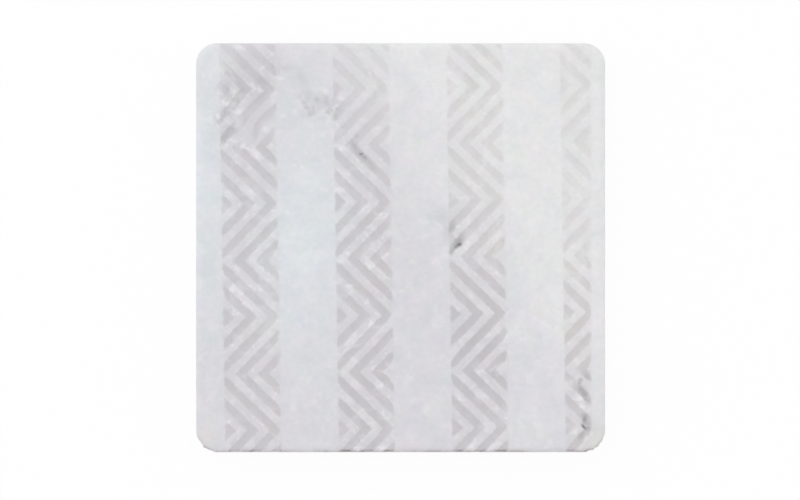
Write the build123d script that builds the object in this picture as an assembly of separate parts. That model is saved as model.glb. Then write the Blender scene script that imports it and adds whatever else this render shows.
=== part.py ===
from build123d import *
import math
import os

# Decorative tile of white marble, cut square, with corners and edges worn round by tumbling.
# Its face is etched with upright bands of nested zigzag lines, between plain strips.
# It lies on its back: the origin is the centre of the underside, Z is up through the face,
# and +Y is the top of the pattern. All sizes are in millimetres and angles in degrees.

# The blank
tile_side = 100.0
tile_thickness = 10.0
corner_radius = 5.2         # plan radius of the four worn corners
face_arris = 1.3            # rounding between the face and the sides
back_arris = 0.8            # rounding between the back and the sides

# The etching
zigzag_height = 27.7        # one zigzag, from one right-hand apex to the next
plain_strip = 13.85         # unetched width between two bands
left_margin = 6.4           # from the left side to the first band, at mid-height
right_margin = 3.45         # from the last, cut-off band to the right side
apex_row = 11.3             # height of the first band's right-hand apex above mid-height
etched_line = 1.9           # width across one etched line, a little less than its share of the band
etch_depth = 0.1
pattern_turn = 0.9          # the whole pattern sits a little askew, counter-clockwise

# Worked out: the lines run at 45 degrees, so a band is half as wide as its zigzag is high,
# and it is shared into five equal steps, by turns etched and left
band_width = zigzag_height / 2
band_pitch = band_width + plain_strip
steps_per_band = 5
step = band_width / steps_per_band
half_line = etched_line * math.sqrt(2) / 2      # half of a line's width, measured along X or Y
first_band = left_margin - tile_side / 2
pattern_right = tile_side / 2 - right_margin


def tumbled_blank():
    """The square piece of stone, before it is etched."""
    blank = extrude(RectangleRounded(tile_side, tile_side, corner_radius), tile_thickness)
    blank = fillet(blank.edges().group_by(Axis.Z)[-1], face_arris)
    return fillet(blank.edges().group_by(Axis.Z)[0], back_arris)


def right_pointing(inner, outer):
    """A > line on the band's left edge, its corners this far from the point of symmetry."""
    tip = (outer, 0)
    upper_end = [(0, inner), (0, outer)]
    lower_end = [(0, -outer), (0, -inner)]
    return Polygon((inner, 0), *upper_end, tip, *lower_end, align=None)


def left_pointing(inner, outer):
    """A < line on the band's right edge, with its corners this far in from that edge."""
    upper_end = [(band_width, outer), (band_width, inner)]
    lower_end = [(band_width, -inner), (band_width, -outer)]
    tip = (band_width - outer, 0)
    return Polygon(tip, *upper_end, (band_width - inner, 0), *lower_end, align=None)


def one_zigzag():
    """The etched lines of one repeat: a small triangle, two > lines and two < lines.

    Each nest of lines closes on a point of the band's edge, and a line's middle is so many steps
    away from that point."""
    half_height = zigzag_height / 2
    triangle_edge = step / 2 + half_line
    shapes = [Polygon((0, -triangle_edge), (triangle_edge, 0), (0, triangle_edge), align=None)]
    for steps_away in (2.5, 4.5):
        shapes.append(right_pointing(steps_away * step - half_line, steps_away * step + half_line))
    for steps_away in (1.5, 3.5):
        shape = left_pointing(steps_away * step - half_line, steps_away * step + half_line)
        shapes.append(Pos(0, half_height) * shape)
    return shapes


def etched_lines():
    """Every etched line of the face, as flat outlines cut off at the ends of the pattern."""
    bands = math.ceil((pattern_right - first_band) / band_pitch)
    repeats = math.ceil(tile_side / 2 / zigzag_height) + 1
    pattern = [
        Rot(0, 0, pattern_turn) * Pos(first_band + band * band_pitch, apex_row + row * zigzag_height) * shape
        for band in range(bands)
        for row in range(-repeats, repeats)
        for shape in one_zigzag()
    ]
    field = Pos(pattern_right - tile_side / 2, 0) * Rectangle(tile_side, tile_side)
    outlines = []
    for shape in pattern:
        kept = shape & field
        if kept:
            outlines.extend(kept.faces())
    return outlines


def etched_tile():
    """The blank with its lines etched in; they run out where the top and bottom edges round off."""
    floor = Pos(0, 0, tile_thickness - etch_depth)
    up = (0, 0, 1)
    cuts = [extrude(floor * outline, 2 * etch_depth, dir=up) for outline in etched_lines()]
    return tumbled_blank() - cuts


os.makedirs("parts", exist_ok=True)
export_step(etched_tile(), "parts/marble_tile.step")
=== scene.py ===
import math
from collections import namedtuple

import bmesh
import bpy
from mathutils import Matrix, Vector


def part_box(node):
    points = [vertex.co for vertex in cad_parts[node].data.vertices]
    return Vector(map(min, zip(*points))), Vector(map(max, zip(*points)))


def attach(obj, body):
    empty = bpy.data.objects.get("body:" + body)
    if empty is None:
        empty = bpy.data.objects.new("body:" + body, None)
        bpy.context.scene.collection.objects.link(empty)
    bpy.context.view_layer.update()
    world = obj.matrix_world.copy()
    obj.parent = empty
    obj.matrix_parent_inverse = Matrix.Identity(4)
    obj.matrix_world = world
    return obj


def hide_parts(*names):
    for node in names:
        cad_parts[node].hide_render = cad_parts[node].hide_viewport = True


bl_info = {
    "name": "Etched Marble Tile",
    "version": (1, 0, 0),
    "blender": (4, 5, 0),
    "location": "View3D > Sidebar > Marble Tile",
    "description": "A tumbled marble tile with etched zigzag bands, lying on a white studio floor",
    "category": "Add Mesh",
}

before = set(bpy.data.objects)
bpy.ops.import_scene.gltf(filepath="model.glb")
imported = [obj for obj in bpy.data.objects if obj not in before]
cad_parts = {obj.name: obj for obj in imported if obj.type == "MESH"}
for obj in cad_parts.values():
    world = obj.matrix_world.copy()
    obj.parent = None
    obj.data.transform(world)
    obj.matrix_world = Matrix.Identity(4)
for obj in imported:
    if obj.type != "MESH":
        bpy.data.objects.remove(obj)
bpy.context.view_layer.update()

MM = 0.001
STEPS_PER_BAND = 5                              # by turns etched and left
CALCITE_IOR = 1.49
CAD_NODE = "marble_tile"
PATTERN_PLACE = "pattern_place"                 # where each point was before the etched edges wandered
COLOUR_A, COLOUR_B, MIXED_COLOUR = 6, 7, 2      # the Mix node's sockets for colours
MATH, NOISE, MAP_RANGE = "ShaderNodeMath", "ShaderNodeTexNoise", "ShaderNodeMapRange"
SMOOTH = {"interpolation_type": "SMOOTHSTEP"}
tile_low, tile_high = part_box(CAD_NODE)
TILE_SIDE = tile_high.x - tile_low.x
TILE_TOP = tile_high.z


def linear(colour):
    """An sRGB hex colour as the linear values that Blender's colours hold."""
    parts = [int(colour[i:i + 2], 16) / 255 for i in (1, 3, 5)]
    return [c / 12.92 if c <= 0.04045 else ((c + 0.055) / 1.055) ** 2.4 for c in parts]


class TileSizes(bpy.types.PropertyGroup):
    corner_radius: bpy.props.FloatProperty(
        name="Corner Radius", description="Plan radius of the four worn corners",
        default=5.2 * MM, unit="LENGTH")
    face_arris: bpy.props.FloatProperty(
        name="Face Arris", description="Rounding between the face and the sides",
        default=1.3 * MM, unit="LENGTH")
    back_arris: bpy.props.FloatProperty(
        name="Back Arris", description="Rounding between the back and the sides",
        default=0.8 * MM, unit="LENGTH")
    edge_wear: bpy.props.FloatProperty(
        name="Edge Wear", description="Deepest that tumbling has eaten into the rounded edges",
        default=0.2 * MM, unit="LENGTH")
    corner_chips: bpy.props.FloatProperty(
        name="Corner Chips", description="Deepest nick in the two ragged bottom corners",
        default=0.45 * MM, unit="LENGTH")
    face_wave: bpy.props.FloatProperty(
        name="Face Wave", description="How far the honed face dips below flat",
        default=0.04 * MM, unit="LENGTH")


class PatternSizes(bpy.types.PropertyGroup):
    zigzag_height: bpy.props.FloatProperty(
        name="Zigzag Height", description="One zigzag, from one right-hand apex to the next",
        default=27.7 * MM, unit="LENGTH")
    left_margin: bpy.props.FloatProperty(
        name="Left Margin", description="From the left side to the first band, at mid-height",
        default=6.36 * MM, unit="LENGTH")
    right_margin: bpy.props.FloatProperty(
        name="Right Margin", description="From the cut-off last band to the right side",
        default=3.45 * MM, unit="LENGTH")
    apex_row: bpy.props.FloatProperty(
        name="Apex Row", description="Height of a right-hand apex of the first band above mid-height",
        default=11.3 * MM, unit="LENGTH")
    turn: bpy.props.FloatProperty(
        name="Turn", description="How far the pattern sits askew, counter-clockwise",
        default=math.radians(0.9), subtype="ANGLE")
    etch_depth: bpy.props.FloatProperty(
        name="Etch Depth", description="Depth of the etched lines",
        default=0.1 * MM, unit="LENGTH")
    wall: bpy.props.FloatProperty(
        name="Etched Wall", description="Width of the slope between the face and an etched floor",
        default=0.4 * MM, unit="LENGTH")
    wander: bpy.props.FloatProperty(
        name="Wander", description="How far the edges of the etched lines stray from straight",
        default=0.12 * MM, unit="LENGTH")


class StoneColours(bpy.types.PropertyGroup):
    stone: bpy.props.FloatVectorProperty(
        name="Stone", description="The ground of the marble, white with a breath of lilac",
        subtype="COLOR", size=3, min=0, max=1, default=linear("#DAD9DE"))
    # Also the broad lightening towards the upper right, partly the stone's own tint and partly painted
    # light
    clear: bpy.props.FloatVectorProperty(
        name="Clear Stone", description="The whitest stone, towards the upper right corner",
        subtype="COLOR", size=3, min=0, max=1, default=linear("#E6E6E7"))
    cool: bpy.props.FloatVectorProperty(
        name="Cool Stone", description="The bluish stone on the left",
        subtype="COLOR", size=3, min=0, max=1, default=linear("#DDE2E6"))
    cream: bpy.props.FloatVectorProperty(
        name="Cream Stone", description="The faintly warmer stone of the two bottom corners",
        subtype="COLOR", size=3, min=0, max=1, default=linear("#DDDBD9"))
    wash: bpy.props.FloatVectorProperty(
        name="Band Wash", description="What the stone of a band tends to, between its etched lines",
        subtype="COLOR", size=3, min=0, max=1, default=linear("#C4B8B9"))
    etched: bpy.props.FloatVectorProperty(
        name="Etched Grey", description="What the etched lines tend to",
        subtype="COLOR", size=3, min=0, max=1, default=linear("#B4B1B5"))
    etched_warm: bpy.props.FloatVectorProperty(
        name="Etched Grey, Warm", description="What they tend to where the stone holds a little iron",
        subtype="COLOR", size=3, min=0, max=1, default=linear("#B8B2AF"))
    cloud: bpy.props.FloatVectorProperty(
        name="Cloud Grey", description="The purplish grey of the soft clouds",
        subtype="COLOR", size=3, min=0, max=1, default=linear("#8E8B96"))
    vein: bpy.props.FloatVectorProperty(
        name="Vein Grey", description="The darkest grey of the veins",
        subtype="COLOR", size=3, min=0, max=1, default=linear("#4A494D"))
    # White calcite grains, brightened as painted glints where they catch the light
    crystal_and_glint: bpy.props.FloatVectorProperty(
        name="Crystal", description="Bright calcite grains that catch the light",
        subtype="COLOR", size=3, min=0, max=1, default=linear("#F2F1F3"))
    # Painted shade on the rounded bottom edge, in a pinkish dust colour
    dust_and_edge_shade: bpy.props.FloatVectorProperty(
        name="Dust", description="Pinkish dust that sits in the bottom edge",
        subtype="COLOR", size=3, min=0, max=1, default=linear("#9C8280"))


class StudioSettings(bpy.types.PropertyGroup):
    tile_pixels: bpy.props.FloatProperty(
        name="Tile Width in Picture", description="Width of the tile in a picture 800 pixels wide",
        default=409.4)
    camera_height: bpy.props.FloatProperty(
        name="Camera Height", description="Height of the camera above the floor",
        default=1.2, unit="LENGTH")
    tent: bpy.props.FloatProperty(
        name="Light Tent", description="Strength of the white tent's light from overhead", default=0.941)
    window: bpy.props.FloatProperty(
        name="Window Light", description="Power of the soft light beyond the top of the tile, in watts",
        default=1.4)


def add_node(tree, kind, settings=None, inputs=None):
    """Adds a node; an input may be a value, a socket, or a node whose first output is meant."""
    made = tree.nodes.new(kind)
    for name, value in (settings or {}).items():
        setattr(made, name, value)
    for name, value in (inputs or {}).items():
        if isinstance(value, bpy.types.Node):
            value = value.outputs[0]
        if isinstance(value, bpy.types.NodeSocket):
            tree.links.new(value, made.inputs[name])
        else:
            made.inputs[name].default_value = value
    return made


def new_material(name):
    """An empty node material, with its tree and its surface output."""
    material = bpy.data.materials.new(name)
    material.use_nodes = True
    material.node_tree.nodes.clear()
    output = add_node(material.node_tree, "ShaderNodeOutputMaterial")
    return material, material.node_tree, output


Patch = namedtuple("Patch", "x y length width turn strength")

# Patches of the stone: where their middles are, from the middle of the face, and their half axes, in
# millimetres, and the turn of the first half axis in degrees
COOL_PATCHES = (  # bluish stone
    Patch(-50, 16, 48, 17, 88, 1.0),
    Patch(-24, 3, 46, 21, 85, 1.0),
)
CLEAR_PATCHES = (  # the whitest stone
    Patch(-48, 48, 11, 7, -45, 0.9),
    Patch(30, -42, 14, 12, 0, 0.35),
)
CLOUDS = (  # soft grey clouds
    Patch(-48.5, 0.0, 16.0, 6.0, 90, 0.05),
    Patch(-39.8, 35.9, 3.4, 1.8, 45, 0.2),
    Patch(-37.5, 39.5, 11.0, 8.5, -40, 0.15),
    Patch(-43.2, 30.0, 9.0, 3.6, 85, 0.16),
    Patch(-42.0, 28.2, 4.4, 2.0, 80, 0.3),
    Patch(-42.8, 32.4, 4.0, 3.2, 60, 0.22),
    Patch(-42.6, 38.3, 4.2, 4.2, 0, 0.26),
    Patch(-38.6, 39.0, 4.0, 2.6, -40, 0.24),
    Patch(-34.5, 40.0, 5.5, 3.6, -45, 0.22),
    Patch(-30.6, 43.3, 3.4, 2.4, -60, 0.3),
    Patch(-36.0, 29.0, 7.0, 5.0, 60, 0.04),
    Patch(-28.4, 44.4, 4.5, 3.5, -40, 0.18),
    Patch(-24.8, 40.6, 9.0, 3.2, -50, 0.15),
    Patch(-23.2, 36.8, 4.0, 3.2, -50, 0.2),
    Patch(-19.5, 34.8, 6.5, 4.5, -10, 0.18),
    Patch(-18.4, 35.8, 5.0, 3.4, -15, 0.29),
    Patch(-22.4, 33.4, 4.0, 2.6, -40, 0.16),
    Patch(-16.4, 32.0, 3.2, 2.4, -40, 0.12),
    Patch(9.7, 7.0, 5.0, 3.0, -50, 0.2),
    Patch(11.0, 3.6, 7.5, 2.8, -65, 0.16),
    Patch(45.0, -38.5, 10.5, 3.2, -75, 0.2),
    Patch(42.0, -41.0, 12.0, 4.5, 90, 0.06),
)
CREAM_PATCHES = (  # faintly warm stone
    Patch(48.5, -46.5, 7.5, 5.0, -50, 0.8),
    Patch(-48.5, -46.0, 6.5, 5.0, 50, 0.7),
)
BITTEN = (  # where acid has bitten the lines deeper
    Patch(19, 38, 15, 26, 0, 0.7),
    Patch(19, -24, 12, 26, 0, 0.5),
    Patch(-8.5, -42, 12, 24, 0, 0.35),
)
HEALED = (  # where the stone's own veins run through the etching
    Patch(-41.6, 47.8, 3.5, 3.5, 0, 0.4),
    Patch(-43.6, 44.6, 2.4, 3.0, 0, 0.6),
    Patch(-43.3, 38.8, 2.9, 4.1, 0, 0.9),
    Patch(-41.8, 33.8, 1.5, 1.1, 0, 0.8),
    Patch(-39.8, 30.8, 2.8, 2.1, 45, 0.85),
    Patch(-37.6, 26.4, 4.4, 3.2, 25, 1.0),
    Patch(-32.9, 29.2, 6.0, 3.6, 60, 0.65),
    Patch(-37.0, 33.2, 4.2, 2.6, 45, 0.45),
    Patch(41.2, -43.2, 3.2, 2.8, 0, 0.4),
)
WISPS = (  # dark veins
    Patch(-11.3, 24.9, 3.0, 1.7, -55, 0.22),
    Patch(-9.0, 22.0, 6.0, 1.7, -47, 0.3),
    Patch(-10.8, 27.1, 1.4, 1.0, 70, 0.14),
    Patch(12.6, 4.7, 2.6, 1.3, 80, 0.26),
    Patch(14.1, 1.4, 3.6, 1.7, 62, 0.46),
    Patch(12.9, -0.5, 2.6, 1.3, 60, 0.34),
    Patch(43.8, -32.6, 1.3, 1.0, 70, 0.65),
    Patch(45.5, -31.4, 2.0, 1.1, -50, 0.25),
    Patch(44.8, -35.6, 3.4, 1.6, -68, 0.34),
    Patch(44.8, -42.2, 2.8, 1.2, -87, 0.52),
    Patch(45.5, -43.9, 2.4, 1.6, -80, 0.42),
    Patch(44.4, -45.5, 2.4, 1.4, 50, 0.28),
)
CORES = (  # their nearly black middles
    Patch(-9.6, 22.8, 0.9, 0.5, -5, 0.5),
    Patch(-8.8, 22.1, 1.1, 0.6, -45, 0.26),
    Patch(14.3, 0.75, 1.1, 0.8, 40, 0.8),
    Patch(13.6, 0.25, 1.1, 0.6, 42, 0.5),
    Patch(44.6, -43.7, 1.3, 0.6, -50, 0.8),
)
SPECKS = (  # small grey specks
    Patch(-24.6, 36.6, 0.9, 0.7, 60, 0.1),
    Patch(-23.5, 35.2, 1.1, 0.9, 0, 0.17),
    Patch(-22.9, 34.1, 1.5, 0.9, -30, 0.15),
    Patch(-21.8, 32.7, 1.5, 1.0, 20, 0.19),
    Patch(-21.3, 34.0, 2.2, 0.4, 85, 0.14),
    Patch(-20.5, 36.2, 1.1, 0.8, 70, 0.15),
    Patch(-18.1, 35.9, 2.0, 1.1, -65, 0.15),
    Patch(-17.7, 33.1, 1.1, 1.0, 0, 0.16),
    Patch(-17.0, 33.6, 0.8, 0.5, -30, 0.18),
    Patch(-15.8, 31.8, 1.8, 1.0, -45, 0.08),
    Patch(-44.6, 30.8, 2.6, 0.7, -48, 0.17),
    Patch(-43.8, 36.3, 1.4, 0.7, 88, 0.12),
    Patch(-41.0, 34.0, 1.2, 0.6, -30, 0.1),
)
SPECKLED = (  # stone full of specks and crystals
    Patch(-45.0, 31.9, 4.0, 4.0, 0, 1.0),
    Patch(-40.5, 35.5, 5.0, 3.0, -40, 0.6),
    Patch(-23.0, 34.8, 4.5, 4.2, 0, 0.7),
    Patch(-18.2, 34.6, 5.5, 4.5, 0, 0.6),
    Patch(44.0, -37.5, 5.5, 2.4, -65, 0.7),
    Patch(-43.0, 26.0, 4.5, 2.4, 75, 0.7),
)
GRAINY = (  # stone with more crystals than elsewhere
    Patch(-22.8, -2.0, 32.0, 9.0, 90, 0.55),
    Patch(-48.5, 18.0, 30.0, 5.0, 90, 0.6),
    Patch(36.5, -20.0, 18.0, 6.0, 85, 0.6),
    Patch(6.0, -41.0, 8.0, 6.0, 0, 0.5),
)
# The flecks are white crystals, brightened as painted glints
FLECKS = (  # single white crystals
    Patch(-39.6, 49.1, 2.6, 0.9, -15, 0.7),
    Patch(-42.9, 35.3, 1.9, 0.9, -35, 0.8),
    Patch(-44.5, 32.1, 1.1, 0.8, 60, 1.0),
    Patch(-46.2, 31.4, 1.7, 1.2, -70, 0.5),
    Patch(-46.5, 33.2, 1.4, 0.6, 10, 0.6),
    Patch(-44.2, 37.7, 1.8, 0.6, -20, 0.6),
    Patch(-42.6, 24.7, 1.5, 0.8, 30, 0.6),
    Patch(-40.0, 33.0, 1.8, 0.9, 0, 0.6),
    Patch(-41.0, 26.0, 2.2, 0.6, -8, 0.6),
    Patch(-34.5, 38.5, 1.2, 0.6, -60, 0.6),
    Patch(-33.8, 43.8, 1.4, 0.7, 40, 0.55),
    Patch(-36.4, 13.5, 1.9, 0.8, -50, 0.7),
    Patch(-37.7, 7.6, 1.6, 0.8, 45, 0.6),
    Patch(-35.5, 22.8, 1.6, 1.3, -50, 0.6),
    Patch(-33.0, 28.8, 1.6, 0.9, -60, 0.6),
    Patch(-29.4, 41.4, 1.8, 0.8, -15, 0.8),
    Patch(-28.8, 32.2, 2.0, 1.0, 0, 0.5),
    Patch(-25.1, 35.6, 1.3, 0.7, 0, 0.6),
    Patch(-18.3, 38.3, 1.6, 1.1, -35, 0.8),
    Patch(-18.6, 33.5, 1.1, 0.8, 60, 0.5),
    Patch(-16.3, 34.0, 1.1, 0.8, 80, 0.5),
    Patch(-14.5, 36.5, 1.3, 1.0, 0, 0.8),
    Patch(-5.5, 29.2, 1.4, 0.8, 20, 0.7),
    Patch(-14.3, 24.1, 1.6, 0.9, -5, 0.8),
    Patch(-9.5, 18.8, 2.2, 0.6, -45, 0.5),
    Patch(10.0, 19.3, 1.2, 0.8, 0, 0.5),
    Patch(9.4, 5.5, 2.0, 0.7, -40, 0.7),
    Patch(13.9, 5.2, 1.0, 0.6, 0, 0.9),
    Patch(16.4, 1.0, 2.0, 1.0, 75, 0.7),
    Patch(16.3, 5.7, 1.4, 0.7, 45, 0.6),
    Patch(17.3, -11.8, 1.7, 0.8, -45, 0.6),
    Patch(13.9, -14.7, 1.4, 0.7, -45, 0.6),
    Patch(21.0, -32.4, 1.6, 0.7, -60, 0.65),
    Patch(17.6, -33.9, 1.4, 0.7, 45, 0.6),
    Patch(-40.0, -5.3, 1.9, 0.9, -50, 0.7),
    Patch(-34.3, -10.0, 1.6, 0.9, -60, 0.7),
    Patch(-14.6, -3.2, 2.0, 1.1, 20, 0.7),
    Patch(-8.1, 3.0, 1.5, 0.7, -45, 0.6),
    Patch(-8.3, -13.3, 1.5, 0.9, 60, 0.8),
    Patch(-12.5, -22.8, 2.1, 0.9, 45, 0.7),
    Patch(-11.3, -27.4, 1.9, 1.1, -30, 0.6),
    Patch(-7.0, -42.8, 1.8, 0.9, 0, 0.6),
    Patch(-4.6, -48.9, 2.4, 0.8, 0, 0.8),
    Patch(-9.9, -48.8, 1.8, 0.7, 0, 0.6),
    Patch(3.2, -37.4, 1.8, 0.9, 30, 0.4),
    Patch(6.3, -39.3, 1.5, 1.5, 0, 0.45),
    Patch(13.6, -46.1, 1.8, 0.9, 45, 0.5),
    Patch(44.0, -36.9, 2.1, 0.8, -50, 0.9),
    Patch(44.5, -38.8, 1.3, 0.9, -50, 1.0),
    Patch(45.9, -39.6, 1.2, 0.7, 90, 0.6),
    Patch(45.2, -46.6, 1.4, 1.0, 45, 0.7),
)
Bend = namedtuple("Bend", "x y reach right up")

# Where the etched lines are pushed out of line: the middle and the reach, and how far they move
BENDS = (
    Bend(-37.5, 27.2, 4.6, 1.5, -0.4),
    Bend(-32.0, 27.6, 3.8, -0.5, -0.7),
    Bend(-38.5, 38.0, 5.0, -0.5, 0.3),
)


def patch_mask(tree, point, patch):
    """1 in the middle of an oval patch, fading to 0 at its rim; it goes right through the stone."""
    endless = 1000
    placed = add_node(tree, "ShaderNodeMapping", {"vector_type": "TEXTURE"}, {
        "Vector": point,
        "Location": (patch.x, patch.y, 0),
        "Rotation": (0, 0, math.radians(patch.turn)),
        "Scale": (patch.length, patch.width, endless)})
    ball = add_node(tree, "ShaderNodeTexGradient", {"gradient_type": "SPHERICAL"}, {0: placed})
    return add_node(tree, MAP_RANGE, SMOOTH, {"Value": ball.outputs["Fac"], "To Max": patch.strength})


def patches_mask(tree, point, patches):
    """The strongest of several patches at each point."""
    strongest = patch_mask(tree, point, patches[0])
    for patch in patches[1:]:
        mask = patch_mask(tree, point, patch)
        strongest = add_node(tree, MATH, {"operation": "MAXIMUM"}, {0: strongest, 1: mask})
    return strongest


def stone_point(tree):
    """Points of the stone in millimetres."""
    place = add_node(tree, "ShaderNodeTexCoord")
    return add_node(tree, "ShaderNodeMapping", {}, {
        "Vector": place.outputs["Object"], "Scale": (1 / MM, 1 / MM, 1 / MM)})


def pattern_point(tree):
    """Points of the pattern in millimetres, which follow the etched edges where these wander."""
    place = add_node(tree, "ShaderNodeAttribute", {"attribute_name": PATTERN_PLACE})
    return add_node(tree, "ShaderNodeMapping", {}, {
        "Vector": place.outputs["Vector"], "Scale": (1 / MM, 1 / MM, 1 / MM)})


def warped(tree, point, size, reach):
    """The same points pushed about by noise of this size, so that shapes drawn on them wander."""
    noise = add_node(tree, NOISE, {}, {
        "Vector": point, "Scale": 1 / size, "Detail": 3.0, "Roughness": 0.6})
    centred = add_node(tree, "ShaderNodeVectorMath", {"operation": "SUBTRACT"}, {
        0: noise.outputs["Color"], 1: (0.5, 0.5, 0.5)})
    return add_node(tree, "ShaderNodeVectorMath", {"operation": "MULTIPLY_ADD"}, {
        0: centred, 1: (reach, reach, reach), 2: point})


def towards(tree, point, direction, start, end):
    """Rises smoothly across the tile in this direction, from 0 to 1, along a border that wanders."""
    along = add_node(tree, "ShaderNodeVectorMath", {"operation": "DOT_PRODUCT"}, {
        0: warped(tree, point, size=12, reach=14), 1: (*direction, 0)})
    return add_node(tree, MAP_RANGE, SMOOTH, {
        "Value": along.outputs["Value"], "From Min": start, "From Max": end})


def seams_mask(tree, point):
    """Narrow winding seams where calcite has healed the stone, 1 in the middle."""
    winding = 16.0
    half_width = 0.05                           # in the noise's own range of 0 to 1
    bed = add_node(tree, NOISE, {}, {
        "Vector": point, "Scale": 1 / winding, "Detail": 3.0, "Roughness": 0.55})
    from_middle = add_node(tree, MATH, {"operation": "SUBTRACT"}, {0: bed.outputs[0], 1: 0.5})
    away = add_node(tree, MATH, {"operation": "ABSOLUTE"}, {0: from_middle})
    return add_node(tree, MAP_RANGE, SMOOTH, {
        "Value": away, "From Max": half_width, "To Min": 1.0, "To Max": 0.0})


def crystal_glints_mask(tree, point, plenty, size, rareness):
    """White calcite crystals with painted glints, of this size in torn shapes, more of them where plenty is
    higher.
    """
    pull, softness = 0.1, 0.2
    shapes = add_node(tree, NOISE, {}, {
        "Vector": warped(tree, point, 2 * size, size), "Scale": 1 / size, "Detail": 2.0, "Roughness": 0.5})
    level = add_node(tree, MATH, {"operation": "MULTIPLY_ADD"}, {
        0: plenty, 1: pull, 2: shapes.outputs[0]})
    return add_node(tree, MAP_RANGE, SMOOTH, {
        "Value": level, "From Min": rareness, "From Max": rareness + softness})


def edge_shade_and_dust_mask(tree, point, corner_radius):
    """Painted shade and pinkish dust, in patches along the rounded edge at the bottom of the pattern."""
    patch_size = 4.0
    thinnest, thickest = 0.1, 0.6
    rim = 1.05                                  # how far in from the outline it reaches
    corner = (TILE_SIDE / 2 - corner_radius) / MM
    edge = corner_radius / MM
    top = TILE_TOP / MM
    parts = add_node(tree, "ShaderNodeSeparateXYZ", {}, {0: point})
    sideways = add_node(tree, MATH, {"operation": "ABSOLUTE"}, {0: parts.outputs[0]})
    past = add_node(tree, MATH, {"operation": "SUBTRACT"}, {0: sideways, 1: corner})
    past = add_node(tree, MATH, {"operation": "MAXIMUM"}, {0: past, 1: 0.0})
    down = add_node(tree, MATH, {"operation": "MULTIPLY_ADD"}, {
        0: parts.outputs[1], 1: -1.0, 2: -corner})
    bend = add_node(tree, "ShaderNodeCombineXYZ", {}, {0: past, 1: down})
    out = add_node(tree, "ShaderNodeVectorMath", {"operation": "LENGTH"}, {0: bend})
    settled = add_node(tree, NOISE, {}, {
        "Vector": point, "Scale": 1 / patch_size, "Detail": 4.0, "Roughness": 0.6})
    mask = add_node(tree, MAP_RANGE, {}, {
        "Value": settled.outputs[0], "From Min": 0.38, "From Max": 0.62,
        "To Min": thinnest, "To Max": thickest})
    for value, none, full in (
        (out.outputs["Value"], edge - rim, edge),
        (down, 0.0, 0.6 * edge),
        (parts.outputs[2], 0.6 * top, 0.85 * top),
    ):
        there = add_node(tree, MAP_RANGE, SMOOTH, {"Value": value, "From Min": none, "From Max": full})
        mask = add_node(tree, MATH, {"operation": "MULTIPLY"}, {0: mask, 1: there})
    return mask


def marble_ground(tree, point, colours):
    """The ground of the marble with its broad tints and fine grain, and a mask of its whitest part, which
    includes a lightening towards the upper right that is partly painted light.
    """
    upper_right = (1.2, 0.8)
    # Lighter towards the upper right: partly the stone's own tint, partly painted light
    whiteness_and_light = add_node(tree, MATH, {"operation": "MAXIMUM"}, {
        0: towards(tree, point, upper_right, start=-5, end=52),
        1: patches_mask(tree, warped(tree, point, size=5, reach=5), CLEAR_PATCHES)})
    coolness = patches_mask(tree, warped(tree, point, size=14, reach=12), COOL_PATCHES)
    creaminess = patches_mask(tree, warped(tree, point, size=5, reach=5), CREAM_PATCHES)
    ground = (*colours.stone, 1)
    for colour, mask in (
        (colours.clear, whiteness_and_light), (colours.cool, coolness), (colours.cream, creaminess),
    ):
        ground = add_node(tree, "ShaderNodeMix", {"data_type": "RGBA"}, {
            "Factor": mask, COLOUR_A: ground, COLOUR_B: (*colour, 1)}).outputs[MIXED_COLOUR]

    # Soft mottling, and then the calcite grains, drawn about twice as coarse as real ones so that they show
    mottling, grain = (5.0, 0.1, 0.07), (1.3, 0.1, 0.03)
    for size, contrast, tint in (mottling, grain):
        mottle = add_node(tree, NOISE, {}, {
            "Vector": point, "Scale": 1 / size, "Detail": 1.0, "Roughness": 0.5})
        lightness = add_node(tree, MATH, {"operation": "MULTIPLY_ADD"}, {
            0: mottle.outputs[0], 1: contrast, 2: 1 - (contrast + tint) / 2})
        shade = add_node(tree, "ShaderNodeVectorMath", {"operation": "MULTIPLY_ADD"}, {
            0: mottle.outputs["Color"], 1: (tint, tint, tint), 2: lightness})
        ground = add_node(tree, "ShaderNodeVectorMath", {"operation": "MULTIPLY"}, {0: ground, 1: shade})
    return ground, whiteness_and_light


def etched_grey(tree, point, colours, whiteness_and_light):
    """The grey of the etched lines, warm in patches where the stone holds iron, most where it is white."""
    patch_size = 7.0
    iron = add_node(tree, NOISE, {}, {
        "Vector": point, "Scale": 1 / patch_size, "Detail": 2.0, "Roughness": 0.6})
    warmth = add_node(tree, MATH, {"operation": "MULTIPLY_ADD"}, {
        0: whiteness_and_light, 1: 0.3, 2: iron.outputs[0]})
    warmth = add_node(tree, MAP_RANGE, SMOOTH, {"Value": warmth, "From Min": 0.48, "From Max": 0.74})
    return add_node(tree, "ShaderNodeMix", {"data_type": "RGBA"}, {
        "Factor": warmth,
        COLOUR_A: (*colours.etched, 1), COLOUR_B: (*colours.etched_warm, 1)}).outputs[MIXED_COLOUR]


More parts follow.
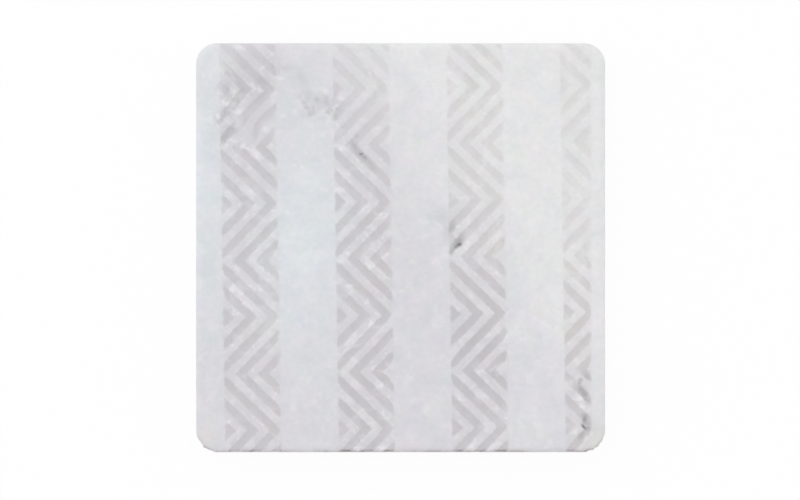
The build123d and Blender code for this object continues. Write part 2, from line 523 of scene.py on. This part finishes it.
def marble_colour(tree, point, colours, corner_radius, band=0.0, line=0.0):
    """White marble: a ground with broad tints, fine grain, what acid has stained of it in the bands and
    their lines, grey clouds and veins, painted shade and dust on the bottom edge, and white crystals with
    painted glints, which neither acid nor vein has coloured."""
    ground, whiteness_and_light = marble_ground(tree, point, colours)
    clouds = patches_mask(tree, warped(tree, point, size=6, reach=6), CLOUDS)
    speckled = patches_mask(tree, warped(tree, point, size=3, reach=3), SPECKLED)
    grainy = patches_mask(tree, warped(tree, point, size=5, reach=5), GRAINY)
    seams = seams_mask(tree, point)

    wash_share, etched_share, shaded_dusty_line_share = 0.18, 0.34, 1.3
    spared_by_seams = -0.45
    ragged_size, pepper_size = 2.2, 1.8
    bitten = add_node(tree, MATH, {"operation": "ADD"}, {
        0: clouds, 1: patches_mask(tree, point, BITTEN)})
    bitten = add_node(tree, MATH, {"operation": "ADD"}, {0: bitten, 1: 1.0})
    bitten = add_node(tree, MATH, {"operation": "MULTIPLY_ADD"}, {
        0: seams, 1: spared_by_seams, 2: bitten})
    bitten_line = add_node(tree, MATH, {"operation": "MULTIPLY"}, {0: line, 1: bitten})
    # Where the etched lines run out over the bottom edge, the painted shade there is darker, in vein grey
    shaded_dusty_line = add_node(tree, MATH, {"operation": "MULTIPLY"}, {0: line, 1: shaded_dusty_line_share})
    ragged = add_node(tree, NOISE, {}, {
        "Vector": point, "Scale": 1 / ragged_size, "Detail": 3.0, "Roughness": 0.6})
    thick = add_node(tree, MAP_RANGE, {}, {
        "Value": ragged.outputs[0], "From Min": 0.35, "From Max": 0.62, "To Min": 0.5, "To Max": 1.0})
    pepper = add_node(tree, NOISE, {}, {
        "Vector": point, "Scale": 1 / pepper_size, "Detail": 1.0, "Roughness": 0.6})
    pepper = add_node(tree, MAP_RANGE, {}, {
        "Value": pepper.outputs[0], "From Min": 0.5, "From Max": 0.66, "To Min": 0.0, "To Max": 0.16})
    # Painted shade and pinkish dust along the rounded bottom edge
    dust_and_edge_shade = edge_shade_and_dust_mask(tree, point, corner_radius)
    grey = etched_grey(tree, point, colours, whiteness_and_light)
    for colour, mask, share in (
        ((*colours.wash, 1), band, wash_share),
        (grey, bitten_line, etched_share),
        ((*colours.cloud, 1), clouds, thick),
        ((*colours.vein, 1), speckled, pepper),
        ((*colours.vein, 1), patches_mask(tree, warped(tree, point, size=1.0, reach=0.8), SPECKS), 1.0),
        ((*colours.vein, 1), patches_mask(tree, warped(tree, point, size=1.5, reach=1.0), WISPS), thick),
        ((*colours.vein, 1), patches_mask(tree, warped(tree, point, size=0.8, reach=0.5), CORES), 1.0),
        # Painted shade and dust on the bottom edge, darker in vein grey where the lines run out
        ((*colours.dust_and_edge_shade, 1), dust_and_edge_shade, 1.0),
        ((*colours.vein, 1), dust_and_edge_shade, shaded_dusty_line),
    ):
        mask = add_node(tree, MATH, {"operation": "MULTIPLY"}, {0: mask, 1: share})
        ground = add_node(tree, "ShaderNodeMix", {"data_type": "RGBA"}, {
            "Factor": mask, COLOUR_A: ground, COLOUR_B: colour}).outputs[MIXED_COLOUR]

    # Crystals and their painted glints are plentiful where the stone is gathered and in the bands, but not
    # on the etched lines
    where_gathered, everywhere, in_band, on_line = 0.75, -0.3, 0.85, -1.2
    gathered = add_node(tree, MATH, {"operation": "MAXIMUM"}, {0: seams, 1: speckled})
    gathered = add_node(tree, MATH, {"operation": "MAXIMUM"}, {0: gathered, 1: grainy})
    plenty = everywhere
    for place, more in ((gathered, where_gathered), (band, in_band), (line, on_line)):
        plenty = add_node(tree, MATH, {"operation": "MULTIPLY_ADD"}, {0: place, 1: more, 2: plenty})
    for glints, brightness in (
        (crystal_glints_mask(tree, point, plenty, size=1.1, rareness=0.65), 0.35),
        (crystal_glints_mask(tree, point, plenty, size=1.9, rareness=0.66), 0.45),
        (crystal_glints_mask(tree, point, plenty, size=3.8, rareness=0.66), 0.4),
        (crystal_glints_mask(tree, point, plenty, size=2.8, rareness=0.53), 0.22),
        (patches_mask(tree, warped(tree, point, size=1.0, reach=1.2), FLECKS), 0.62),
    ):
        glints = add_node(tree, MATH, {"operation": "MULTIPLY"}, {0: glints, 1: brightness})
        ground = add_node(tree, "ShaderNodeMix", {"data_type": "RGBA"}, {
            "Factor": glints, COLOUR_A: ground, COLOUR_B: (*colours.crystal_and_glint, 1)}).outputs[MIXED_COLOUR]
    return ground


def zigzag_masks(tree, point, pattern):
    """Two masks: 1 inside the bands, and 1 on their etched lines, both soft at the edges and with
    every corner a little rounded."""
    soft_band, soft_line = 0.7, 0.3
    corner = 0.45
    end_corner = 4 * corner                     # where a line runs out at the band's edge
    height = pattern.zigzag_height / MM
    band_width = height / 2
    step = band_width / STEPS_PER_BAND
    first_band = (pattern.left_margin - TILE_SIDE / 2) / MM
    pattern_right = (TILE_SIDE / 2 - pattern.right_margin) / MM
    turned = add_node(tree, "ShaderNodeMapping", {"vector_type": "TEXTURE"}, {
        "Vector": point, "Rotation": (0, 0, pattern.turn)})
    parts = add_node(tree, "ShaderNodeSeparateXYZ", {}, {0: turned})
    straight = add_node(tree, "ShaderNodeSeparateXYZ", {}, {0: point})

    from_first = add_node(tree, MATH, {"operation": "SUBTRACT"}, {0: parts.outputs[0], 1: first_band})
    across = add_node(tree, MATH, {"operation": "FLOORED_MODULO"}, {0: from_first, 1: height})
    from_middle = add_node(tree, MATH, {"operation": "SUBTRACT"}, {0: across, 1: band_width / 2})
    off_middle = add_node(tree, MATH, {"operation": "ABSOLUTE"}, {0: from_middle})
    inside_band = add_node(tree, MATH, {"operation": "SUBTRACT"}, {0: band_width / 2, 1: off_middle})
    before_end = add_node(tree, MATH, {"operation": "SUBTRACT"}, {
        0: pattern_right, 1: straight.outputs[0]})
    inside_band = add_node(tree, MATH, {"operation": "MINIMUM"}, {0: inside_band, 1: before_end})
    after_start = add_node(tree, MATH, {"operation": "ADD"}, {0: from_first, 1: soft_line})
    inside_band = add_node(tree, MATH, {"operation": "MINIMUM"}, {0: inside_band, 1: after_start})

    from_apex = add_node(tree, MATH, {"operation": "SUBTRACT"}, {
        0: parts.outputs[1], 1: pattern.apex_row / MM})
    to_apex = add_node(tree, MATH, {"operation": "PINGPONG"}, {0: from_apex, 1: band_width})
    to_notch = add_node(tree, MATH, {"operation": "SUBTRACT"}, {0: band_width, 1: to_apex})
    blunt_apex = add_node(tree, MATH, {"operation": "SMOOTH_MAX"}, {0: to_apex, 1: 0.0, 2: corner})
    blunt_notch = add_node(tree, MATH, {"operation": "SMOOTH_MAX"}, {0: to_notch, 1: 0.0, 2: corner})
    notch_shift = add_node(tree, MATH, {"operation": "SUBTRACT"}, {0: to_notch, 1: blunt_notch})
    rise = add_node(tree, MATH, {"operation": "ADD"}, {0: blunt_apex, 1: notch_shift})
    slope = add_node(tree, MATH, {"operation": "ADD"}, {0: across, 1: rise})
    from_line = add_node(tree, MATH, {"operation": "SUBTRACT"}, {0: slope, 1: step / 2})
    off_line = add_node(tree, MATH, {"operation": "PINGPONG"}, {0: from_line, 1: step})
    inside_line = add_node(tree, MATH, {"operation": "MULTIPLY_ADD"}, {
        0: off_line, 1: -math.sqrt(0.5), 2: step / 2 * math.sqrt(0.5)})
    inside_line = add_node(tree, MATH, {"operation": "SMOOTH_MIN"}, {
        0: inside_line, 1: inside_band, 2: end_corner})
    return [
        add_node(tree, MAP_RANGE, SMOOTH, {"Value": inside, "From Min": -soft, "From Max": soft})
        for inside, soft in ((inside_band, soft_band), (inside_line, soft_line))]


def give_surface(tree, output, colour, roughness, height, relief, depth):
    """The shader of marble, whose fine relief follows a height."""
    bump = add_node(tree, "ShaderNodeBump", {}, {"Height": height, "Strength": relief, "Distance": depth})
    shader = add_node(tree, "ShaderNodeBsdfPrincipled", {}, {
        "Base Color": colour, "Roughness": roughness, "Normal": bump, "IOR": CALCITE_IOR})
    tree.links.new(shader.outputs[0], output.inputs[0])


def honed_marble(colours, pattern, corner_radius):
    """Marble honed with fine grit, and etched: a smooth face with hardly a shine, whose crystals show
    as bright points; acid has left the etched lines greyer, duller and slightly rough."""
    upper_right = (0.8, 1.2)
    fullest, faintest = 1.1, 0.5                # how strongly the etching shows, and where it is worn
    honed_roughness, etched_roughness = 0.42, 0.75
    honed_relief, etched_relief = 0.03, 0.12
    patch_size, tooth_size = 3.0, 0.6
    material, tree, output = new_material("Honed white marble, etched")
    point = stone_point(tree)
    nibbled = warped(tree, pattern_point(tree), size=0.9, reach=0.7)
    band, line = zigzag_masks(tree, nibbled, pattern)
    worn = towards(tree, point, upper_right, start=4, end=52)
    strength = add_node(tree, MAP_RANGE, {}, {"Value": worn, "To Min": fullest, "To Max": faintest})
    patchy = add_node(tree, NOISE, {}, {
        "Vector": point, "Scale": 1 / patch_size, "Detail": 4.0, "Roughness": 0.65})
    bite = add_node(tree, MAP_RANGE, {}, {
        "Value": patchy.outputs[0], "From Min": 0.3, "From Max": 0.6, "To Min": 0.8, "To Max": 1.05})
    healed = patches_mask(tree, warped(tree, point, size=3, reach=3), HEALED)
    left = add_node(tree, MATH, {"operation": "SUBTRACT"}, {0: 1.0, 1: healed})
    for share in (bite, left):
        strength = add_node(tree, MATH, {"operation": "MULTIPLY"}, {0: strength, 1: share})
    band = add_node(tree, MATH, {"operation": "MULTIPLY"}, {0: band, 1: strength})
    line = add_node(tree, MATH, {"operation": "MULTIPLY"}, {0: line, 1: strength})
    roughness = add_node(tree, MAP_RANGE, {}, {
        "Value": line, "To Min": honed_roughness, "To Max": etched_roughness})

    # The scratches of the grit and the pits of the acid are finer, and are drawn as coarse as they show
    tooth = add_node(tree, NOISE, {}, {
        "Vector": point, "Scale": 1 / tooth_size, "Detail": 3.0, "Roughness": 0.5})
    relief = add_node(tree, MAP_RANGE, {}, {
        "Value": line, "To Min": honed_relief, "To Max": etched_relief})
    colour = marble_colour(tree, point, colours, corner_radius, band, line)
    give_surface(tree, output, colour, roughness, tooth, relief, depth=0.1 * MM)
    return material


def tumbled_marble(colours, corner_radius):
    """Marble tumbled with grit and water: frosted, matt and softly pitted, with no sharp line left."""
    pit_size = 0.9
    material, tree, output = new_material("Tumbled white marble")
    point = stone_point(tree)
    colour = marble_colour(tree, point, colours, corner_radius)
    pits = add_node(tree, NOISE, {}, {
        "Vector": point, "Scale": 1 / pit_size, "Detail": 5.0, "Roughness": 0.65})
    give_surface(tree, output, colour, roughness=0.7, height=pits, relief=0.5, depth=0.2 * MM)
    return material


def sawn_marble(colours, corner_radius):
    """Marble as the saw left it: matt, with the faint parallel strokes of the blade."""
    stroke_scale = 1 / 3.2
    material, tree, output = new_material("Sawn white marble")
    point = stone_point(tree)
    colour = marble_colour(tree, point, colours, corner_radius)
    strokes = add_node(tree, "ShaderNodeTexWave", {"bands_direction": "Y"}, {
        "Vector": point, "Scale": stroke_scale, "Distortion": 1.5, "Detail": 3.0})
    give_surface(tree, output, colour, roughness=0.65, height=strokes, relief=0.4, depth=0.1 * MM)
    return material


def pick(piece, kind, wanted):
    """In edit mode, selects the vertices, edges or faces that pass a test."""
    bpy.ops.mesh.select_mode(type=kind)
    bpy.ops.mesh.select_all(action="DESELECT")
    shape = bmesh.from_edit_mesh(piece.data)
    items = {"VERT": shape.verts, "EDGE": shape.edges, "FACE": shape.faces}[kind]
    for item in items:
        if wanted(item):
            item.select_set(True)
    shape.select_flush_mode()
    bmesh.update_edit_mesh(piece.data)


def cut(point, normal):
    """Cuts the whole piece through along a plane, leaving both sides."""
    bpy.ops.mesh.select_all(action="SELECT")
    bpy.ops.mesh.bisect(plane_co=point, plane_no=normal)


def rounded_blank(sizes):
    """A square block with round corners and round edges, open in edit mode."""
    bpy.ops.object.select_all(action="DESELECT")
    bpy.ops.mesh.primitive_cube_add(
        size=1, location=(tile_low + tile_high) / 2, scale=tile_high - tile_low)
    tile = bpy.context.object
    tile.name = "tumbled_tile"
    bpy.ops.object.transform_apply(location=True, rotation=True, scale=True)
    bpy.ops.object.mode_set(mode="EDIT")
    pick(tile, "EDGE", lambda e: abs(e.verts[0].co.z - e.verts[1].co.z) > TILE_TOP / 2)
    bpy.ops.mesh.bevel(offset=sizes.corner_radius, segments=24, affect="EDGES")
    near = TILE_TOP / 100
    pick(tile, "EDGE", lambda e: min(v.co.z for v in e.verts) > TILE_TOP - near)
    bpy.ops.mesh.bevel(offset=sizes.face_arris, segments=6, affect="EDGES")
    pick(tile, "EDGE", lambda e: max(v.co.z for v in e.verts) < near)
    bpy.ops.mesh.bevel(offset=sizes.back_arris, segments=4, affect="EDGES")
    return tile


class Zigzag:
    """The layout of the pattern on the face, in metres."""

    def __init__(self, pattern):
        self.height = pattern.zigzag_height
        self.band_width = self.height / 2
        self.step = self.band_width / STEPS_PER_BAND
        self.first_band = pattern.left_margin - TILE_SIDE / 2
        self.right = TILE_SIDE / 2 - pattern.right_margin
        self.apex_row = pattern.apex_row
        self.wall = pattern.wall
        self.turned = Matrix.Rotation(pattern.turn, 3, "Z")
        self.straightened = self.turned.inverted()

    def inside(self, point):
        """How far a point lies inside an etched line, seen from above; less than 0 is outside."""
        u, v, _ = self.straightened @ point
        from_first = u - self.first_band
        across = from_first % self.height
        rise = abs((v - self.apex_row + self.band_width) % self.height - self.band_width)
        off_line = abs((across + rise) % (2 * self.step) - self.step / 2)
        inside_line = (self.step / 2 - off_line) / math.sqrt(2)
        inside_band = self.band_width / 2 - abs(across - self.band_width / 2)
        return min(inside_line, inside_band, from_first, self.right - point.x)

    def cut_along(self, reach):
        """Cuts the piece along the top and the foot of every wall that an etched line can have.

        In each direction the walls face each other by turns, so the foot is on alternate sides."""
        start = self.turned @ Vector((self.first_band, self.apex_row, 0))
        for direction, spacing in (
            (Vector((1, 1, 0)).normalized(), self.step / math.sqrt(2)),
            (Vector((1, -1, 0)).normalized(), self.step / math.sqrt(2)),
            (Vector((1, 0, 0)), self.band_width),
        ):
            normal = self.turned @ direction
            for k in self.rows(start.dot(normal), spacing, reach):
                foot = -self.wall if k % 2 else self.wall
                for place in (k * spacing, k * spacing + foot):
                    cut(start + place * normal, normal)
        upward = self.turned @ Vector((0, 1, 0))
        for k in self.rows(start.dot(upward), self.band_width, reach):
            cut(start + k * self.band_width * upward, upward)
        for place in (self.right, self.right - self.wall):
            cut((place, 0, 0), (1, 0, 0))

    @staticmethod
    def rows(start, spacing, reach):
        """The numbers of the rows this far apart, counted from start, that lie within reach."""
        return range(math.ceil((-reach - start) / spacing), math.floor((reach - start) / spacing) + 1)


def refine(tile, sizes):
    """Divides the mesh finely on the face and its rim, and coarsely on the sides."""
    sides_top = TILE_TOP - sizes.face_arris
    levels = 5
    for k in range(1, levels):
        cut((0, 0, sizes.back_arris + (sides_top - sizes.back_arris) * k / levels), (0, 0, 1))
    near = 0.1 * MM
    too_long = 0.65 * MM
    halvings = 3

    def wants_halving(edge):
        return edge.calc_length() > too_long and min(v.co.z for v in edge.verts) > sides_top - near

    for _ in range(halvings):
        pick(tile, "EDGE", wants_halving)
        bpy.ops.mesh.subdivide(number_cuts=1)
    pick(tile, "VERT", lambda v: True)
    bpy.ops.mesh.remove_doubles(threshold=0.01 * MM)


def weight_group(piece, name, weight):
    """Adds a vertex group whose weight is worked out from each vertex's place."""
    group = piece.vertex_groups.new(name=name)
    for vertex in piece.data.vertices:
        amount = weight(vertex.co)
        if amount > 0:
            group.add([vertex.index], min(amount, 1), "REPLACE")


def displace(piece, name, size, strength, group, direction="NORMAL", middle_level=0.0, contrast=1.0):
    """Moves the surface by soft noise of this size, or evenly where it has none, and applies it."""
    modifier = piece.modifiers.new(name, "DISPLACE")
    if size:
        texture = bpy.data.textures.new(name, "CLOUDS")
        texture.noise_scale = size
        texture.noise_depth = 3
        texture.contrast = contrast
        modifier.texture = texture
    modifier.texture_coords = "LOCAL"
    modifier.direction = direction
    modifier.vertex_group = group
    modifier.mid_level = middle_level
    modifier.strength = strength
    bpy.ops.object.modifier_apply(modifier=name)


def etch(tile, zigzag, pattern):
    """Sinks the etched lines to one level; they run out where the edges round off below it."""
    floor = TILE_TOP - pattern.etch_depth

    def sunk(co):
        above_floor = max(0, co.z - floor) / pattern.etch_depth
        down_the_wall = max(0, zigzag.inside(co)) / pattern.wall
        return min(above_floor, 1) * min(down_the_wall, 1)

    weight_group(tile, "etched", sunk)
    displace(tile, "etching", None, -pattern.etch_depth, "etched", direction="Z")


def inset_from_side(co, corner_radius):
    """How far a point lies inside the outline, seen from above."""
    corner = TILE_SIDE / 2 - corner_radius
    dx, dy = abs(co.x) - corner, abs(co.y) - corner
    if dx > 0 and dy > 0:
        return corner_radius - math.hypot(dx, dy)
    return TILE_SIDE / 2 - max(abs(co.x), abs(co.y))


def let_edges_wander(tile, sizes, pattern):
    """Remembers where the pattern's points are, then lets the etched edges stray from straight."""
    places = tile.data.attributes.new(PATTERN_PLACE, "FLOAT_VECTOR", "POINT")
    for vertex in tile.data.vertices:
        places.data[vertex.index].vector = vertex.co

    def face_weight(co):
        if co.z < TILE_TOP - sizes.face_arris / 2:
            return 0
        return (inset_from_side(co, sizes.corner_radius) - sizes.face_arris) / sizes.face_arris

    for number, bend in enumerate(BENDS):
        def bend_weight(co):
            near = 1 - math.hypot(co.x - bend.x * MM, co.y - bend.y * MM) / (bend.reach * MM)
            return max(0, near) ** 2 * (3 - 2 * near) * max(0, min(1, face_weight(co)))

        name = f"bend {number}"
        weight_group(tile, name, bend_weight)
        displace(tile, name, None, bend.right * MM, name, "X")
        displace(tile, name, None, bend.up * MM, name, "Y")
    weight_group(tile, "face", face_weight)
    for direction, size in (("X", 1.7 * MM), ("Y", 2.1 * MM)):
        displace(tile, "wander " + direction, size, 2 * pattern.wander, "face", direction, 0.5)


def wear(tile, sizes):
    """Wears the edges unevenly, nicks the bottom corners and lets the honed face dip a little."""
    reach = 1.6 * MM
    fullness = 1.3

    def edge_weight(co):
        from_flat = min(TILE_TOP - co.z, co.z)
        along_side = max(0, 1 - max(0, inset_from_side(co, sizes.corner_radius)) / reach)
        along_flat = max(0, 1 - max(0, from_flat) / reach)
        return along_side * along_flat * fullness

    def chip_weight(co):
        start = TILE_SIDE / 2 - sizes.corner_radius + 0.6 * MM
        along = min(abs(co.x) - start, -co.y - start)
        near_side = 1 - inset_from_side(co, sizes.corner_radius) / (reach / 2)
        return max(0, near_side) * max(0, along) / MM

    weight_group(tile, "edges", edge_weight)
    weight_group(tile, "bottom corners", chip_weight)
    weight_group(tile, "everywhere", lambda co: 1)
    displace(tile, "tumbling", 3.5 * MM, -sizes.edge_wear, "edges")
    displace(tile, "nibbles", 1.2 * MM, -sizes.edge_wear / 2, "edges", contrast=1.6)
    displace(tile, "corner chips", 1.3 * MM, -sizes.corner_chips, "bottom corners", contrast=3.0)
    displace(tile, "hand honing", 9 * MM, -sizes.face_wave, "everywhere")


def material_faces(tile, materials):
    """Gives the face, the sides and the back their own finish."""
    for material in materials:
        tile.data.materials.append(material)
    bpy.ops.object.mode_set(mode="EDIT")
    tilt = math.cos(math.radians(60))
    for slot, wanted in enumerate((
        lambda f: f.normal.z > tilt,
        lambda f: abs(f.normal.z) <= tilt,
        lambda f: f.normal.z < -tilt,
    )):
        pick(tile, "FACE", wanted)
        tile.active_material_index = slot
        bpy.ops.object.material_slot_assign()
    bpy.ops.object.mode_set(mode="OBJECT")


class TILE_OT_marble_tile(bpy.types.Operator):
    """Models the tumbled, etched tile and gives it its marble"""
    bl_idname = "tile.marble_tile"
    bl_label = "Marble Tile"

    def execute(self, context):
        sizes = context.scene.tile_sizes
        pattern = context.scene.tile_pattern
        colours = context.scene.tile_colours
        tile = rounded_blank(sizes)
        zigzag = Zigzag(pattern)
        zigzag.cut_along(TILE_SIDE * math.sqrt(2) / 2)
        refine(tile, sizes)
        bpy.ops.object.mode_set(mode="OBJECT")
        etch(tile, zigzag, pattern)
        let_edges_wander(tile, sizes, pattern)
        wear(tile, sizes)
        material_faces(tile, (
            honed_marble(colours, pattern, sizes.corner_radius),
            tumbled_marble(colours, sizes.corner_radius),
            sawn_marble(colours, sizes.corner_radius)))
        bpy.ops.object.shade_smooth_by_angle(angle=math.radians(40))
        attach(tile, "root")
        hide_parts(CAD_NODE)
        return {"FINISHED"}


def add_floor():
    """A white paper floor that shows white and keeps a faint shadow."""
    side = 6
    gap = 0.05 * MM
    shown_white = 0.93
    bpy.ops.object.select_all(action="DESELECT")
    bpy.ops.mesh.primitive_plane_add(size=side, location=(0, 0, -gap))
    floor = bpy.context.object
    floor.name = "paper_floor"
    material, tree, output = new_material("White paper")
    paper = add_node(tree, "ShaderNodeBsdfDiffuse", {}, {"Color": (*linear("#FAFAFA"), 1)})
    glow = add_node(tree, "ShaderNodeEmission", {}, {"Color": (1, 1, 1, 1), "Strength": 1.0})
    rays = add_node(tree, "ShaderNodeLightPath")
    share = add_node(tree, MATH, {"operation": "MULTIPLY"}, {
        0: rays.outputs["Is Camera Ray"], 1: shown_white})
    mixed = add_node(tree, "ShaderNodeMixShader", {}, {0: share, 1: paper, 2: glow})
    tree.links.new(mixed.outputs[0], output.inputs[0])
    floor.data.materials.append(material)


def add_light_tent(studio):
    """A white tent all round, whose walls are brighter than its roof. Its back is dimmer, and its front,
    beyond the bottom of the tile, is the dimmest; camera, gloss and glass see it plain white."""
    walls_to_roof = 1.4
    front, front_light = -1.0, 0.5
    back, back_light = 1.0, 0.75
    world = bpy.data.worlds.new("Light tent")
    world.use_nodes = True
    tree = world.node_tree
    tree.nodes.clear()
    place = add_node(tree, "ShaderNodeTexCoord")
    facing = add_node(tree, "ShaderNodeSeparateXYZ", {}, {0: place.outputs["Generated"]})
    walls = add_node(tree, MAP_RANGE, {}, {
        "Value": facing.outputs[2], "To Min": walls_to_roof * studio.tent, "To Max": studio.tent})
    light = walls
    for end, dimmest in ((front, front_light), (back, back_light)):
        dimmer = add_node(tree, MAP_RANGE, {}, {
            "Value": facing.outputs[1], "From Min": end, "From Max": 0.0, "To Min": dimmest, "To Max": 1.0})
        light = add_node(tree, MATH, {"operation": "MULTIPLY"}, {0: light, 1: dimmer})
    rays = add_node(tree, "ShaderNodeLightPath")
    seen = rays.outputs["Is Camera Ray"]
    for kind in ("Is Glossy Ray", "Is Transmission Ray"):
        seen = add_node(tree, MATH, {"operation": "MAXIMUM"}, {0: seen, 1: rays.outputs[kind]})
    strength = add_node(tree, MAP_RANGE, {}, {"Value": seen, "To Min": light, "To Max": 1.0})
    cloth = add_node(tree, "ShaderNodeBackground", {}, {"Color": (1, 1, 1, 1), "Strength": strength})
    output = add_node(tree, "ShaderNodeOutputWorld")
    tree.links.new(cloth.outputs[0], output.inputs[0])
    bpy.context.scene.world = world


def add_window(studio):
    """One soft light, high beyond the top edge of the tile."""
    place = Vector((-0.55, 0.3, 1.0))
    width, depth = 0.9, 0.6
    bpy.ops.object.light_add(type="AREA", location=place)
    window = bpy.context.object
    window.name = "window_light"
    window.data.shape = "RECTANGLE"
    window.data.size = width
    window.data.size_y = depth
    window.data.energy = studio.window
    window.rotation_euler = (-place).to_track_quat("-Z", "Y").to_euler()


def add_camera(studio, face_arris):
    """A long lens straight above, framed as in the photograph."""
    image_width, image_height = 800, 500
    tile_in_picture = Vector((400.65, 247.65))
    pixels_per_metre = studio.tile_pixels / TILE_SIDE
    off_centre = (tile_in_picture - Vector((image_width / 2, image_height / 2))) / pixels_per_metre
    bpy.ops.object.camera_add(
        location=(-off_centre.x, off_centre.y, studio.camera_height), rotation=(0, 0, 0))
    camera = bpy.context.object
    camera.name = "camera"
    widest = TILE_TOP - face_arris
    camera.data.lens = (
        pixels_per_metre * camera.data.sensor_width * (studio.camera_height - widest) / image_width)
    bpy.context.scene.camera = camera


class TILE_OT_studio(bpy.types.Operator):
    """Sets up the floor, the lights and the camera above the tile"""
    bl_idname = "tile.studio"
    bl_label = "Studio"

    def execute(self, context):
        studio = context.scene.tile_studio
        add_floor()
        add_light_tent(studio)
        add_window(studio)
        add_camera(studio, context.scene.tile_sizes.face_arris)
        context.scene.view_settings.view_transform = "Standard"
        return {"FINISHED"}


class TILE_PT_panel(bpy.types.Panel):
    """Sizes, colours and the steps that build the tile"""
    bl_idname = "TILE_PT_panel"
    bl_label = "Marble Tile"
    bl_space_type = "VIEW_3D"
    bl_region_type = "UI"
    bl_category = "Marble Tile"

    def draw(self, context):
        for group in (context.scene.tile_sizes, context.scene.tile_pattern,
                      context.scene.tile_colours, context.scene.tile_studio):
            box = self.layout.box()
            for name in group.__annotations__:
                box.prop(group, name)
        self.layout.operator(TILE_OT_marble_tile.bl_idname)
        self.layout.operator(TILE_OT_studio.bl_idname)


SETTINGS = {
    "tile_sizes": TileSizes,
    "tile_pattern": PatternSizes,
    "tile_colours": StoneColours,
    "tile_studio": StudioSettings,
}
CLASSES = (*SETTINGS.values(), TILE_OT_marble_tile, TILE_OT_studio, TILE_PT_panel)


def register():
    for cls in CLASSES:
        bpy.utils.register_class(cls)
    for name, group in SETTINGS.items():
        setattr(bpy.types.Scene, name, bpy.props.PointerProperty(type=group))


def unregister():
    for name in SETTINGS:
        delattr(bpy.types.Scene, name)
    for cls in reversed(CLASSES):
        bpy.utils.unregister_class(cls)


def main():
    register()
    bpy.ops.tile.marble_tile()
    bpy.ops.tile.studio()


if __name__ == "__main__":
    main()
